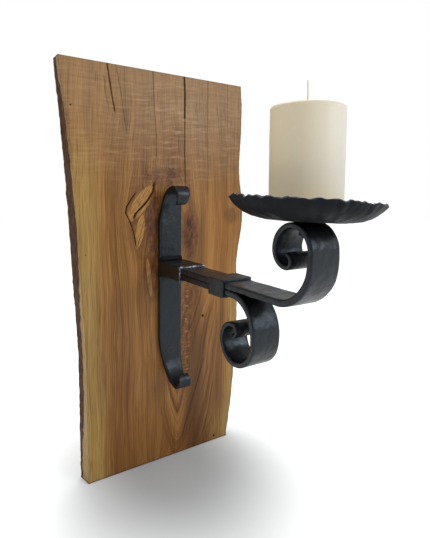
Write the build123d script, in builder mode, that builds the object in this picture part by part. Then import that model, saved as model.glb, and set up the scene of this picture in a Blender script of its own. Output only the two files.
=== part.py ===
"""Wall sconce candle holder: a live-edge board with a forged iron bracket, drip pan and pillar candle.

Frame, in millimetres: the wall is the plane y = 0, and the sconce stands out from it towards -Y.
+Z is up and +X is to the right. The origin is the centre of the upper keyhole's round entry.
"""
import os

from build123d import *

# ---------------------------------------------------------------- driving dimensions
# Board: a slab with sawn ends and natural side edges
board_height = 570.0
board_thickness = 22.0
board_left = 149.0        # from the centre line to the left edge, at the top of the front face
board_right = 129.0       # from the centre line to the right edge, at the top of the front face
board_corner = 7.0        # worn corners of the sawn ends
left_flare = 5.0          # how much further out the natural edge is at the back than at the front
right_flare = 3.0
left_taper = 28.0         # how much further in the left edge is at the bottom
right_taper = 23.0
wall_gap = 6.5            # height of the hangers and of the bumpers behind the board

# Flat bar that the wall plate and both arms are forged from
bar_width = 35.0
plate_thickness = 8.0
arm_thickness = 7.5

# Wall plate
hanger_drop = 60.0        # from the board's top edge down to the upper keyhole
arm_drop = 270.5          # from the board's top edge down to the upper arm's top face
plate_rise = 82.0         # straight part of the plate above the arm's top face
plate_fall = 139.0        # straight part of the plate below the arm's top face
plate_tip_width = 22.0    # width of the plate's drawn-out ends
top_bend_radius = 24.0    # centre-line radii of the plate's two end curls
top_curl_radius = 11.0
bottom_bend_radius = 37.0
bottom_curl_radius = 8.5
bottom_bend_angle = 80.0
top_curl_turn = 165.0
bottom_curl_turn = 172.0

# Plate screws
plate_screw_rise = 62.0   # upper screw above the arm's top face
plate_screw_fall = 132.0  # lower screw below the arm's top face
screw_head_radius = 6.0
screw_shank_radius = 2.6
screw_cover = 3.0         # wood left behind a plate screw's tip
screw_tip_radius = 0.3    # blunt points of all the screws
screw_recess = 4.2        # half the width of the cross recess
screw_clearance = 0.1

# Root sleeve and front collar round the two arms
sleeve_length = 64.0
sleeve_thickness = 2.6
strap_clearance = 0.05
weld_leg = 4.5
collar_start = 135.0      # from the plate's front to the collar's near end
collar_length = 31.0
collar_thickness = 3.0

# Upper arm: outer radii of its scroll
upper_run = 252.0         # from the plate's front to the first bend
upper_bend_radius = 46.0
upper_rise = 8.5
upper_top_radius = 27.0
upper_back_radius = 20.0
upper_eye_radius = 10.0
upper_eye_turn = 215.0
seat_flat = 0.6           # how much is filed off the scroll's top where the pan sits

# Lower arm: outer radii of its scroll
lower_run = 178.0         # from the plate's front to the first bend
lower_bend_radius = 42.0
lower_drop = 4.5
lower_front_radius = 36.5
lower_back_radius = 27.5
lower_roll_radius = 22.5
lower_top_run = 3.0
lower_eye_radius = 10.0
lower_eye_turn = 215.0

# Drip pan
pan_radius = 71.5
pan_floor_radius = 42.0
pan_height = 17.0
pan_thickness = 2.5

# Pricket, its washer and its nut
spike_radius = 3.0
spike_height = 30.0
spike_tip_radius = 0.4
shoulder_radius = 6.5
shoulder_height = 2.5
stem_radius = 3.0
stem_clearance = 0.1
stem_end = 2.0            # stem below the nut
washer_radius = 6.5
washer_thickness = 1.2
nut_across_flats = 10.0
nut_height = 5.0
thread_clearance = 0.1

# Candle and wick
candle_radius = 34.0
candle_height = 100.0
candle_round = 4.0
pricket_clearance = 0.4
wick_radius = 0.8
wick_height = 24.0
wick_depth = 55.0
wick_clearance = 0.05

# Raised keyhole hangers, their screws and the rubber bumpers
hanger_rise = 110.0       # from the board's bottom edge up to the lower keyhole
hanger_width = 22.0
hanger_metal = 1.5
bridge_length = 36.0      # raised part that lies against the wall
foot_length = 13.0        # each foot that is screwed to the board
foot_corner = 3.0
keyhole_radius = 5.0
keyhole_slot_radius = 2.4
keyhole_travel = 11.0     # how far the board drops once the wall screw is in
hanger_screw_head = 2.9
hanger_screw_shank = 1.6
hanger_screw_length = 16.0
hanger_screw_recess = 1.9
bumper_radius = 9.0
bumper_inset = 26.0       # from the board's nearest edges to a bumper's centre

# ---------------------------------------------------------------- places that follow from them
board_top = hanger_drop
board_bottom = board_top - board_height
board_back = -wall_gap
board_front = board_back - board_thickness
plate_front = board_front - plate_thickness
arm_top = board_top - arm_drop
arm_split = arm_top - arm_thickness
arm_bottom = arm_split - arm_thickness
half_bar = bar_width / 2
screw_length = plate_thickness + board_thickness - screw_cover

upper_rise_end = arm_split + upper_bend_radius + upper_rise
pan_bottom = upper_rise_end + upper_top_radius - seat_flat
pan_floor = pan_bottom + pan_thickness
pan_y = plate_front - upper_run - upper_bend_radius + upper_top_radius
bar_underside = upper_rise_end + upper_top_radius - arm_thickness

plate_screw_spots = [(0, arm_top + plate_screw_rise), (0, arm_top - plate_screw_fall)]
hanger_spots = [(0, 0), (0, board_bottom + hanger_rise)]
slot_spots = [(x, z + keyhole_travel / 2) for x, z in hanger_spots]
foot_back = board_back + hanger_metal
screw_reach = bridge_length / 2 + foot_length / 2
hanger_screw_spots = [(x, z + reach) for x, z in slot_spots for reach in (screw_reach, -screw_reach)]
bumper_spots = [
    (x, z)
    for x in (-board_left + left_taper + bumper_inset, board_right - right_taper - bumper_inset)
    for z in (board_top - bumper_inset, board_bottom + bumper_inset)
]

os.makedirs("parts", exist_ok=True)


def save(piece, name):
    """Label a finished piece and write it as one STEP file."""
    piece.part.label = name
    export_step(piece.part, f"parts/{name}.step")


def room_plane(y):
    """The plane at distance y that faces the room: local x is X, local y is Z."""
    return Plane(origin=(0, y, 0), x_dir=(1, 0, 0), z_dir=(0, -1, 0))


def wall_plane(y):
    """The plane at distance y that faces the wall: local x is -X, local y is Z."""
    return Plane(origin=(0, y, 0), x_dir=(-1, 0, 0), z_dir=(0, 1, 0))


# ---------------------------------------------------------------- board
# Natural edges: how far down the board, and how far in from the top corner of that side
left_wave = [(0.20, 9.5), (0.37, 16.0), (0.52, 20.5), (0.66, 25.5), (0.80, 27.0)]
right_wave = [
    (0.16, 0.5), (0.26, 1.0), (0.315, -3.5), (0.37, -5.0), (0.43, 0.5),
    (0.51, 6.0), (0.61, 4.0), (0.72, 5.5), (0.82, 10.0), (0.91, 15.5),
]


def board_outline(left, right):
    """Sawn ends, wavy natural sides and worn corners, from the two top half-widths."""
    left_side = Spline(
        (-left, board_top - board_corner),
        *[(-left + step, board_top - board_height * down) for down, step in left_wave],
        (-left + left_taper, board_bottom + board_corner),
    )
    right_side = Spline(
        (right, board_top - board_corner),
        *[(right - step, board_top - board_height * down) for down, step in right_wave],
        (right - right_taper, board_bottom + board_corner),
    )
    top = Line((-left + board_corner, board_top), (right - board_corner, board_top))
    bottom = Line(
        (-left + left_taper + board_corner, board_bottom), (right - right_taper - board_corner, board_bottom)
    )
    TangentArc(top @ 1, right_side @ 0, tangent=top % 1)
    TangentArc(bottom @ 1, right_side @ 1, tangent=bottom % 1)
    TangentArc(top @ 0, left_side @ 0, tangent=-(top % 0))
    TangentArc(bottom @ 0, left_side @ 1, tangent=-(bottom % 0))


with BuildPart() as board:
    with BuildSketch(room_plane(board_front)):
        with BuildLine():
            board_outline(board_left, board_right)
        make_face()
    with BuildSketch(room_plane(board_back)):
        with BuildLine():
            board_outline(board_left + left_flare, board_right + right_flare)
        make_face()
    loft()
    # pilot holes for the plate's screws and for the hangers' screws
    with BuildSketch(room_plane(board_front)):
        with Locations(*plate_screw_spots):
            Circle(screw_shank_radius + screw_clearance)
    extrude(amount=-(screw_length - plate_thickness + screw_clearance), mode=Mode.SUBTRACT)
    with BuildSketch(wall_plane(board_back)):
        with Locations(*hanger_screw_spots):
            Circle(hanger_screw_shank + screw_clearance)
    extrude(amount=-(hanger_screw_length - hanger_metal + screw_clearance), mode=Mode.SUBTRACT)
save(board, "board")


# ---------------------------------------------------------------- wall plate
plate_middle = board_front - plate_thickness / 2
plate_high = arm_top + plate_rise
plate_low = arm_top - plate_fall

with BuildPart() as wall_plate:
    with BuildSketch(Plane.YZ):
        with BuildLine():
            run = Line((plate_middle, plate_low), (plate_middle, plate_high))
            top_bend = JernArc(run @ 1, run % 1, top_bend_radius, 90)
            JernArc(top_bend @ 1, top_bend % 1, top_curl_radius, top_curl_turn)
            low_bend = JernArc(run @ 0, -(run % 0), bottom_bend_radius, -bottom_bend_angle)
            JernArc(low_bend @ 1, low_bend % 1, bottom_curl_radius, -bottom_curl_turn)
        trace(line_width=plate_thickness)
    extrude(amount=half_bar, both=True)
    # both ends are drawn out narrower
    plate_box = wall_plate.part.bounding_box()
    with BuildSketch(room_plane(board_front)):
        with BuildLine():
            Polyline(
                (half_bar, plate_low), (half_bar, plate_high),
                (plate_tip_width / 2, plate_box.max.Z), (-plate_tip_width / 2, plate_box.max.Z),
                (-half_bar, plate_high), (-half_bar, plate_low),
                (-plate_tip_width / 2, plate_box.min.Z), (plate_tip_width / 2, plate_box.min.Z),
                close=True,
            )
        make_face()
    extrude(amount=board_front - plate_box.min.Y, mode=Mode.INTERSECT)
    with Locations(room_plane(plate_front)):
        with Locations(*plate_screw_spots):
            CounterSinkHole(
                screw_shank_radius + screw_clearance, screw_head_radius + screw_clearance,
                depth=plate_thickness, counter_sink_angle=90,
            )
save(wall_plate, "wall_plate")


# ---------------------------------------------------------------- screws
def wood_screws(spots, head_radius, shank_radius, length, recess):
    """Countersunk screws with their flat heads in the working plane, pointing away from it."""
    head_height = head_radius - shank_radius
    shank_length = length - head_height - 2 * shank_radius
    seat = (Align.CENTER, Align.CENTER, Align.MAX)
    with Locations(*spots):
        Cone(shank_radius, head_radius, head_height, align=seat)
        with Locations((0, 0, -head_height)):
            Cylinder(shank_radius, shank_length, align=seat)
            with Locations((0, 0, -shank_length)):
                Cone(screw_tip_radius, shank_radius, 2 * shank_radius, align=seat)
        for turn in (0, 90):
            Box(2 * recess, recess / 2, recess / 2, rotation=(0, 0, turn), align=seat, mode=Mode.SUBTRACT)


with BuildPart(room_plane(plate_front)) as plate_screws:
    wood_screws(plate_screw_spots, screw_head_radius, screw_shank_radius, screw_length, screw_recess)
save(plate_screws, "plate_screws")

with BuildPart(wall_plane(foot_back)) as hanger_screws:
    wood_screws(
        hanger_screw_spots, hanger_screw_head, hanger_screw_shank, hanger_screw_length, hanger_screw_recess
    )
save(hanger_screws, "hanger_screws")


# ---------------------------------------------------------------- arms
with BuildPart() as upper_arm:
    with BuildSketch(Plane.YZ):
        with BuildLine():
            half = arm_thickness / 2
            run = Line((plate_front, arm_top - half), (plate_front - upper_run, arm_top - half))
            bend = JernArc(run @ 1, run % 1, upper_bend_radius - half, -90)
            rise = Line(bend @ 1, bend @ 1 + bend % 1 * upper_rise)
            over = JernArc(rise @ 1, rise % 1, upper_top_radius - half, -180)
            back = JernArc(over @ 1, over % 1, upper_back_radius - half, -90)
            JernArc(back @ 1, back % 1, upper_eye_radius - half, -upper_eye_turn)
        trace(line_width=arm_thickness)
    extrude(amount=half_bar, both=True)
    # filed seat for the pan, spot face for the washer, hole for the pricket's stem
    with Locations((0, pan_y, pan_bottom)):
        Box(bar_width, upper_top_radius, upper_top_radius, mode=Mode.SUBTRACT,
            align=(Align.CENTER, Align.CENTER, Align.MIN))
        Cylinder(stem_radius + stem_clearance, 2 * arm_thickness, mode=Mode.SUBTRACT)
    with Locations((0, pan_y, bar_underside)):
        Cylinder(washer_radius + stem_clearance, arm_thickness / 2, mode=Mode.SUBTRACT,
                 align=(Align.CENTER, Align.CENTER, Align.MAX))
save(upper_arm, "upper_arm")

with BuildPart() as lower_arm:
    with BuildSketch(Plane.YZ):
        with BuildLine():
            half = arm_thickness / 2
            run = Line((plate_front, arm_split - half), (plate_front - lower_run, arm_split - half))
            bend = JernArc(run @ 1, run % 1, lower_bend_radius - half, 90)
            drop = Line(bend @ 1, bend @ 1 + bend % 1 * lower_drop)
            front = JernArc(drop @ 1, drop % 1, lower_front_radius - half, 90)
            back = JernArc(front @ 1, front % 1, lower_back_radius - half, 90)
            roll = JernArc(back @ 1, back % 1, lower_roll_radius - half, 90)
            ledge = Line(roll @ 1, roll @ 1 + roll % 1 * lower_top_run)
            JernArc(ledge @ 1, ledge % 1, lower_eye_radius - half, lower_eye_turn)
        trace(line_width=arm_thickness)
    extrude(amount=half_bar, both=True)
save(lower_arm, "lower_arm")


# ---------------------------------------------------------------- root sleeve, welds and front collar
def strap_section(thickness):
    """The section of a strap folded round both arms."""
    inner_width = bar_width + 2 * strap_clearance
    inner_height = arm_top - arm_bottom + 2 * strap_clearance
    with Locations((0, (arm_top + arm_bottom) / 2)):
        RectangleRounded(inner_width + 2 * thickness, inner_height + 2 * thickness, thickness / 2)
        Rectangle(inner_width, inner_height, mode=Mode.SUBTRACT)


with BuildPart() as root_sleeve:
    with BuildSketch(room_plane(plate_front)):
        strap_section(sleeve_thickness)
    extrude(amount=sleeve_length)
save(root_sleeve, "root_sleeve")

with BuildPart() as front_collar:
    with BuildSketch(room_plane(plate_front - collar_start)):
        strap_section(collar_thickness)
    extrude(amount=collar_length)
save(front_collar, "front_collar")

sleeve_reach = strap_clearance + sleeve_thickness
with BuildPart() as root_welds:
    with BuildSketch(Plane.YZ):
        for z, side in ((arm_top + sleeve_reach, 1), (arm_bottom - sleeve_reach, -1)):
            with BuildLine():
                toe = Line((plate_front, z), (plate_front - weld_leg, z))
                foot = Line((plate_front, z), (plate_front, z + side * weld_leg))
                RadiusArc(toe @ 1, foot @ 1, side * 2 * weld_leg)
            make_face()
    extrude(amount=half_bar, both=True)
save(root_welds, "root_welds")


# ---------------------------------------------------------------- drip pan
pan_plane = Plane(origin=(0, pan_y, pan_bottom), x_dir=(1, 0, 0), z_dir=(0, -1, 0))
pan_axis = Axis((0, pan_y, 0), (0, 0, 1))

with BuildPart() as drip_pan:
    with BuildSketch(pan_plane):
        with BuildLine():
            half = pan_thickness / 2
            floor = Line((0, half), (pan_floor_radius, half))
            TangentArc(floor @ 1, (pan_radius - half, pan_height - half), tangent=floor % 1)
        trace(line_width=pan_thickness)
    revolve(axis=pan_axis)
    with Locations((0, pan_y, pan_bottom)):
        Cylinder(stem_radius + stem_clearance, 3 * pan_thickness, mode=Mode.SUBTRACT)
save(drip_pan, "drip_pan")


# ---------------------------------------------------------------- pricket, washer and nut
nut_top = bar_underside - washer_thickness
nut_bottom = nut_top - nut_height

with BuildPart() as pricket:
    with BuildSketch(pan_plane):
        with BuildLine():
            floor = pan_floor - pan_bottom
            end = nut_bottom - stem_end - pan_bottom
            Polyline(
                (0, end), (stem_radius, end), (stem_radius, floor), (shoulder_radius, floor),
                (shoulder_radius, floor + shoulder_height), (spike_radius, floor + shoulder_height),
                (spike_tip_radius, floor + spike_height), (0, floor + spike_height), close=True,
            )
        make_face()
    revolve(axis=pan_axis)
save(pricket, "pricket")

with BuildPart() as stem_washer:
    with BuildSketch(Plane.XY.offset(nut_top)):
        with Locations((0, pan_y)):
            Circle(washer_radius)
            Circle(stem_radius + stem_clearance, mode=Mode.SUBTRACT)
    extrude(amount=washer_thickness)
save(stem_washer, "stem_washer")

with BuildPart() as stem_nut:
    with BuildSketch(Plane.XY.offset(nut_bottom)):
        with Locations((0, pan_y)):
            RegularPolygon(nut_across_flats / 2, 6, major_radius=False)
            Circle(stem_radius + thread_clearance, mode=Mode.SUBTRACT)
    extrude(amount=nut_height)
save(stem_nut, "stem_nut")


# ---------------------------------------------------------------- candle and wick
candle_base = pan_floor - pan_bottom
candle_top = candle_base + candle_height

with BuildPart() as candle:
    with BuildSketch(pan_plane):
        with BuildLine():
            gap = pricket_clearance
            cap = candle_base + shoulder_height + gap
            hollow = Polyline(
                (candle_radius, candle_base), (shoulder_radius + gap, candle_base),
                (shoulder_radius + gap, cap), (spike_radius + gap, cap),
                (spike_tip_radius + gap, candle_base + spike_height + gap),
                (0, candle_base + spike_height + gap), (0, candle_top),
                (candle_radius - candle_round, candle_top),
            )
            side = Line((candle_radius, candle_base), (candle_radius, candle_top - candle_round))
            TangentArc(side @ 1, hollow @ 1, tangent=side % 1)
        make_face()
    revolve(axis=pan_axis)
    with Locations((0, pan_y, pan_bottom + candle_top)):
        Cylinder(wick_radius + wick_clearance, wick_depth, mode=Mode.SUBTRACT,
                 align=(Align.CENTER, Align.CENTER, Align.MAX))
save(candle, "candle")

with BuildPart() as wick:
    with Locations((0, pan_y, pan_bottom + candle_top - wick_depth)):
        Cylinder(wick_radius, wick_depth + wick_height, align=(Align.CENTER, Align.CENTER, Align.MIN))
save(wick, "wick")


# ---------------------------------------------------------------- hangers and bumpers
def hanger(entry, slot, name):
    """A strip of steel bent into a bridge, with a keyhole in it and two feet screwed to the board."""
    x, z = slot
    feet = [(x, z + screw_reach), (x, z - screw_reach)]
    with BuildPart() as strip:
        with BuildSketch(wall_plane(board_back)):
            with Locations(slot):
                RectangleRounded(hanger_width, bridge_length + 2 * foot_length, foot_corner)
        extrude(amount=hanger_metal)
        with BuildSketch(wall_plane(board_back)):
            with Locations(slot):
                Rectangle(hanger_width, bridge_length)
        extrude(amount=wall_gap)
        with BuildSketch(wall_plane(board_back)):
            with Locations(slot):
                Rectangle(hanger_width, bridge_length - 2 * hanger_metal)
        extrude(amount=wall_gap - hanger_metal, mode=Mode.SUBTRACT)
        with BuildSketch(wall_plane(0)):
            with Locations(slot):
                SlotCenterToCenter(keyhole_travel, keyhole_slot_radius * 2, rotation=90)
            with Locations(entry):
                Circle(keyhole_radius)
        extrude(amount=-hanger_metal, mode=Mode.SUBTRACT)
        with Locations(wall_plane(foot_back)):
            with Locations(*feet):
                CounterSinkHole(
                    hanger_screw_shank + screw_clearance, hanger_screw_head + screw_clearance,
                    depth=hanger_metal, counter_sink_angle=90,
                )
    save(strip, name)


for entry, slot, name in zip(hanger_spots, slot_spots, ("upper_hanger", "lower_hanger")):
    hanger(entry, slot, name)

with BuildPart() as bumpers:
    with BuildSketch(room_plane(0)):
        with Locations(*bumper_spots):
            Circle(bumper_radius)
    extrude(amount=wall_gap)
save(bumpers, "bumpers")
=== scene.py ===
"""Looks of the wall sconce candle holder: live-edge board, forged iron bracket, drip pan and candle.

Everything is in metres in the frame of the CAD model: the wall is y = 0, the sconce faces -Y, +Z is up.
"""

import math

import bmesh
import bpy
from bpy.props import FloatProperty, FloatVectorProperty, PointerProperty
from bpy.types import Operator, Panel, PropertyGroup
from mathutils import Matrix, Vector, noise


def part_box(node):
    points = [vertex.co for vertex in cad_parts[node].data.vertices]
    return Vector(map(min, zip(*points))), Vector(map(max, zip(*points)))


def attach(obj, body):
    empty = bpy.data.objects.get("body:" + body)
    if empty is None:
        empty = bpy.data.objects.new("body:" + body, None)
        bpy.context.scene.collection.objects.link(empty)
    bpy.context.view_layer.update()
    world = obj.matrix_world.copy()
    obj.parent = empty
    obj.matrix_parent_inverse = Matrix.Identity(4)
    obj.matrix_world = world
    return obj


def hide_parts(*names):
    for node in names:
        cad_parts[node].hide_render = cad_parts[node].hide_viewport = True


bl_info = {
    "name": "Wall Sconce Candle Holder",
    "version": (1, 0, 0),
    "blender": (4, 5, 0),
    "location": "3D View > Sidebar > Sconce",
    "description": "Builds the looks of a forged wall sconce on a live-edge board",
    "category": "Object",
}

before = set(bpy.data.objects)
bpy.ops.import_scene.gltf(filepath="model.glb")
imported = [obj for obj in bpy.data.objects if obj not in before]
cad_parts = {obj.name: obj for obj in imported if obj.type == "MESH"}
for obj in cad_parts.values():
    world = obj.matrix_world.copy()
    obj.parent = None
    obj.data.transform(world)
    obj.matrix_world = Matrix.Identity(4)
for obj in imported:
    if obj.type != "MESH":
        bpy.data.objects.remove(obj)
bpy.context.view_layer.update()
MM = 0.001
BODY, LOOSE = "sconce", "candle"

BOARD_LOW, BOARD_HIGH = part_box("board")
ARM_LOW, ARM_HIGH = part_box("upper_arm")
SLEEVE_LOW, SLEEVE_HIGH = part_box("root_sleeve")
COLLAR_LOW, COLLAR_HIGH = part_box("front_collar")
WELD_LOW, WELD_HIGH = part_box("root_welds")
PAN_LOW, PAN_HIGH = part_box("drip_pan")
CANDLE_LOW, CANDLE_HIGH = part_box("candle")
WICK_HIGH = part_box("wick")[1]
PLATE_FRONT = SLEEVE_HIGH.y
ARM_TOP = SLEEVE_HIGH.z - 2.65 * MM
DARK = (0.0, 0.0, 0.0)

CAMERA_PLACE = (-0.2794, -0.5900, -0.1144)
CAMERA_SHIFT = -0.0835
CAMERA_TURNS = (32.683, 3.801, 0.435)  # heading, dip and roll in degrees


# ---------------------------------------------------------------- small helpers
def colour(red, green, blue):
    """A colour given as it looks on a screen, from 0 to 255, as the linear colour that shaders take."""
    parts = (c / 255 for c in (red, green, blue))
    return tuple(c / 12.92 if c <= 0.04045 else ((c + 0.055) / 1.055) ** 2.4 for c in parts)


def ease(value, low, high):
    """0 below low, 1 above high, and smooth between them."""
    t = min(max((value - low) / (high - low), 0.0), 1.0)
    return t * t * (3 - 2 * t)


def ripple(point, size, seed=0.0):
    """Smooth noise from about -1 to 1 whose lumps are about size across."""
    return noise.noise(Vector(point) / size + Vector((seed, 1.7 * seed, 0.3)))


def along(stops, where):
    """The value at where on a line through (place, value) stops."""
    if where <= stops[0][0]:
        return stops[0][1]
    for (a, low), (b, high) in zip(stops, stops[1:]):
        if where <= b:
            return low + (high - low) * (where - a) / (b - a)
    return stops[-1][1]


def bevel(bm, geom, offset, segments, affect="EDGES"):
    """Round edges, or corners where affect is VERTICES."""
    bmesh.ops.bevel(
        bm, geom=geom, offset=offset, offset_type="OFFSET", segments=segments, profile=0.5,
        affect=affect, material=-1,
    )


def grow(bm, edges):
    """Extrude free edges, and give back the new vertices and the new free edges."""
    made = bmesh.ops.extrude_edge_only(bm, edges=edges)["geom"]
    verts = [g for g in made if isinstance(g, bmesh.types.BMVert)]
    return verts, [g for g in made if isinstance(g, bmesh.types.BMEdge) and g.is_boundary]


def piece(bm, name, material, body, replaced, angle=35.0):
    """Make a finished bmesh into a piece that rides on a body."""
    bmesh.ops.remove_doubles(bm, verts=bm.verts, dist=1e-6)
    bmesh.ops.recalc_face_normals(bm, faces=bm.faces)
    mesh = bpy.data.meshes.new(name)
    bm.to_mesh(mesh)
    bm.free()
    mesh.shade_smooth()
    mesh.set_sharp_from_angle(angle=math.radians(angle))
    obj = bpy.data.objects.new(name, mesh)
    bpy.context.scene.collection.objects.link(obj)
    mesh.materials.append(material)
    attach(obj, body)
    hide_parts(*replaced)
    return obj


def repaint(material, *nodes):
    """Give CAD nodes a procedural material."""
    for name in nodes:
        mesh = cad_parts[name].data
        mesh.materials.clear()
        mesh.materials.append(material)


# ---------------------------------------------------------------- materials
class Value:
    """A shader socket that Python's operators build Math nodes on."""

    def __init__(self, finish, socket):
        self.finish, self.socket = finish, socket

    def math(self, operation, *others):
        return self.finish.math(operation, self, *others)

    def __add__(self, other):
        return self.math("ADD", other)

    def __sub__(self, other):
        return self.math("SUBTRACT", other)

    def __rsub__(self, other):
        return self.finish.math("SUBTRACT", other, self)

    def __mul__(self, other):
        return self.math("MULTIPLY", other)

    def __truediv__(self, other):
        return self.math("DIVIDE", other)

    def __rtruediv__(self, other):
        return self.finish.math("DIVIDE", other, self)

    def __pow__(self, other):
        return self.math("POWER", other)

    def __abs__(self):
        return self.math("ABSOLUTE")

    __radd__ = __add__
    __rmul__ = __mul__

    def clip(self):
        return self.math("MAXIMUM", 0.0).math("MINIMUM", 1.0)

    def step(self, low, high):
        """0 at low, 1 at high, and smooth between them."""
        return self.finish.node(
            "ShaderNodeMapRange", {"interpolation_type": "SMOOTHSTEP"},
            {"Value": self, "From Min": low, "From Max": high, "To Min": 0.0, "To Max": 1.0},
        )

    def hump(self, centre, reach):
        """1 at centre, falling smoothly to 0 at reach away from it."""
        return 1 - abs(self - centre).step(0.0, reach)


class Finish:
    """A material made from nodes."""

    def __init__(self, name):
        self.material = bpy.data.materials.new(name)
        self.material.use_nodes = True
        self.tree = self.material.node_tree
        self.tree.nodes.clear()

    def node(self, kind, settings=None, sockets=None, out=0):
        """Add a node, set its settings and then its sockets, and give back one of its outputs."""
        made = self.tree.nodes.new(kind)
        for key, value in (settings or {}).items():
            if key == "stops":
                ramp = made.color_ramp.elements
                while len(ramp) < len(value):
                    ramp.new(1.0)
                for element, (place, shade) in zip(ramp, value):
                    element.position, element.color = place, (*shade, 1.0)
            else:
                setattr(made, key, value)
        for key, value in (sockets or {}).items():
            if isinstance(value, Value):
                self.tree.links.new(value.socket, made.inputs[key])
            elif isinstance(value, tuple) and len(made.inputs[key].default_value) > len(value):
                made.inputs[key].default_value = (*value, 1.0)
            else:
                made.inputs[key].default_value = value
        return Value(self, made.outputs[out]) if made.outputs else made

    def math(self, operation, *values):
        return self.node("ShaderNodeMath", {"operation": operation}, dict(enumerate(values)))

    def place(self):
        """The piece's own X, Y and Z in millimetres."""
        coords = self.node("ShaderNodeTexCoord", out="Object")
        return [self.node("ShaderNodeSeparateXYZ", None, {0: coords}, out=i) * (1 / MM) for i in range(3)]

    def point(self, x, y, z):
        return self.node("ShaderNodeCombineXYZ", None, {0: x, 1: y, 2: z})

    def spot(self):
        """The piece's own place in millimetres, as one vector."""
        return self.point(*self.place())

    def cloud(self, point, scale, detail=2.0, rough=0.5, warp=0.0):
        """Noise from about 0 to 1."""
        return self.node(
            "ShaderNodeTexNoise", None,
            {"Vector": point, "Scale": scale, "Detail": detail, "Roughness": rough, "Distortion": warp},
        )

    def ramp(self, value, stops):
        return self.node("ShaderNodeValToRGB", {"stops": stops}, {0: value})

    def level(self, value, stops, span):
        """A number that follows value through (place, number) stops, all numbers under span."""
        stops = [(place, (number / span,) * 3) for place, number in stops]
        return self.ramp(value, stops).math("MULTIPLY", span)

    def mix(self, share, a, b, how="MIX"):
        settings = {"data_type": "RGBA", "blend_type": how}
        return self.node("ShaderNodeMix", settings, {0: share, 6: a, 7: b}, out=2)

    def mark(self, name):
        """A point attribute of the piece."""
        return self.node("ShaderNodeAttribute", {"attribute_name": name}, out="Fac")

    def bump(self, height, distance, strength=1.0, under=None):
        """A normal from a height of 0 to 1 that stands for distance in millimetres."""
        sockets = {"Height": height, "Distance": distance * MM, "Strength": strength}
        if under:
            sockets["Normal"] = under
        return self.node("ShaderNodeBump", None, sockets)

    def shade(self, **sockets):
        """Finish with a Principled BSDF, and give back the material."""
        names = {key: key.replace("_", " ").title().replace("Ior", "IOR") for key in sockets}
        shader = self.node("ShaderNodeBsdfPrincipled", None, {names[k]: v for k, v in sockets.items()})
        self.node("ShaderNodeOutputMaterial", None, {"Surface": shader})
        return self.material


# ---------------------------------------------------------------- the board's own figure
# Places on the face, in millimetres: (distance down from the top edge, distance right of the centre line)
LONG_CRACK = [(0, 26), (25, 27.5), (60, 27), (110, 27), (160, 28.5)]
LEFT_CRACK = [(0, -90), (20, -87), (45, -83), (66, -79)]
KNOT_LEFT = [(167, -48), (178, -56), (190, -64), (199, -65.5), (214, -58), (230, -53), (252, -49.5)]
KNOT_CRACK = [(154, -21.5), (170, -24.5), (180, -31), (188, -38), (200, -51), (212, -55)]
KNOT_RIGHT = [(182, -33), (200, -36), (222, -42), (250, -49)]
PIN_HOLES = [(362, 60, 2.3), (60, -138, 1.4), (564, 82, 2.2), (254, -121, 1.0)]
CRACKS = [
    # line, half width, start, end, strength
    (LONG_CRACK, 1.5, -5, 66, 1.0),
    (LONG_CRACK, 0.7, 60, 162, 0.75),
    (LEFT_CRACK, 1.1, -5, 67, 0.8),
    ([(0, -78), (30, -72), (60, -68), (90, -63), (125, -60)], 0.9, -5, 92, 0.5),
    ([(0, -66), (40, -65), (100, -61)], 0.8, -5, 84, 0.4),
    ([(0, -97), (40, -92), (80, -84)], 0.8, 12, 62, 0.35),
    ([(0, -24), (30, -23), (60, -21), (90, -19), (125, -19)], 1.0, -5, 126, 0.6),
    ([(0, 67), (80, 66), (140, 68), (190, 67)], 1.6, -5, 175, 0.35),
    ([(0, 103), (90, 103)], 1.2, -5, 70, 0.25),
    (KNOT_LEFT, 1.2, 168, 251, 1.0),
    (KNOT_CRACK, 2.3, 154, 212, 1.0),
    (KNOT_RIGHT, 0.9, 186, 249, 0.55),
    ([(318, 58), (342, 51), (368, 42), (392, 29)], 1.5, 318, 394, 0.5),
    ([(330, 66), (360, 56), (396, 42)], 1.1, 330, 396, 0.35),
    ([(428, 63), (458, 53), (496, 40), (552, 22)], 1.7, 428, 552, 0.55),
    ([(440, 72), (480, 58), (540, 36)], 1.1, 440, 545, 0.4),
    ([(470, 79), (510, 72), (550, 63)], 1.3, 468, 552, 0.45),
    ([(252, -20), (285, -27), (320, -36)], 1.2, 250, 322, 0.4),
    ([(256, -14), (290, -19), (330, -24)], 1.0, 256, 330, 0.35),
    ([(252, -30), (280, -38), (310, -47)], 1.0, 250, 312, 0.3),
]


class BoardFace:
    """Where the board's natural edges run, read from the CAD board."""

    def __init__(self):
        points = [v.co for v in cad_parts["board"].data.vertices]
        front = [p for p in points if abs(p.y - BOARD_LOW.y) < 1e-5]
        clear = 0.05
        self.left = sorted((p.z, p.x) for p in front if p.x < -clear)
        self.right = sorted((p.z, p.x) for p in front if p.x > clear)

    def span(self, z):
        """The edges at a height, with the small rounds at the board's corners left out."""
        left_z = min(max(z, BOARD_LOW.z + 9 * MM), BOARD_HIGH.z - 9 * MM)
        right_z = min(max(z, BOARD_LOW.z + 5 * MM), BOARD_HIGH.z - 4 * MM)
        return along(self.left, left_z) - self.lead(z), along(self.right, right_z)

    def lead(self, z):
        """How much the face widens into the top left corner."""
        return 4.2 * MM * (1 - ease(BOARD_HIGH.z - z, 4 * MM, 75 * MM))


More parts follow.
